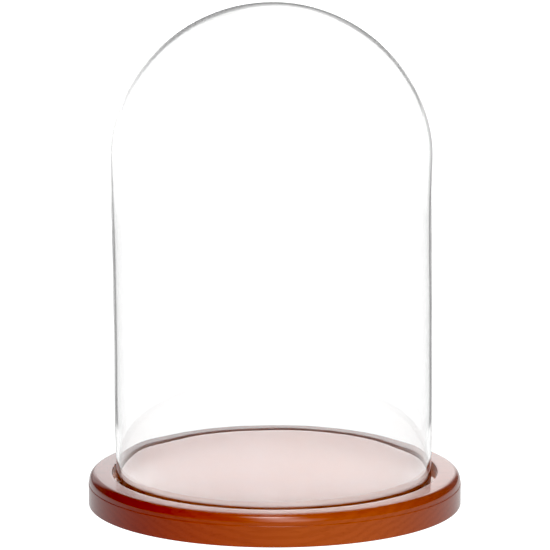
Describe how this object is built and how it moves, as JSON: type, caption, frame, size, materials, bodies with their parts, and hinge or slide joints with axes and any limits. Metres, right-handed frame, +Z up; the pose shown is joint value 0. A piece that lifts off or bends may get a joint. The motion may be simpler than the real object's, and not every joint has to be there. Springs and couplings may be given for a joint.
{
  "type": "bell jar display dome",
  "caption": "Clear blown-glass display dome with a rounded crown, standing in the ring groove of a round lacquered wooden base with a stepped, rounded edge.",
  "frame": {"origin": "centre of the plane that the object stands on, under the felt pads", "axes": "+Z up along the dome's axis; the object is round, so X and Y are free, and the pads stand on the diagonals"},
  "size_m": [0.2366, 0.2366, 0.3225],
  "materials": {
    "clear_glass": "fire-polished, clear",
    "cherry_lacquer": "red-brown cherry stain under gloss lacquer",
    "pad_felt": "brown pressed felt"
  },
  "bodies": {
    "base": {"wooden_base": "cherry_lacquer", "felt_pad_1": "pad_felt", "felt_pad_2": "pad_felt", "felt_pad_3": "pad_felt", "felt_pad_4": "pad_felt"},
    "dome": {"glass_dome": "clear_glass"}
  },
  "joints": [
    {"name": "dome_lift", "type": "slide", "parent": "base", "child": "dome", "axis": [0, 0, 1], "range_m": [0, 0.32]}
  ]
}
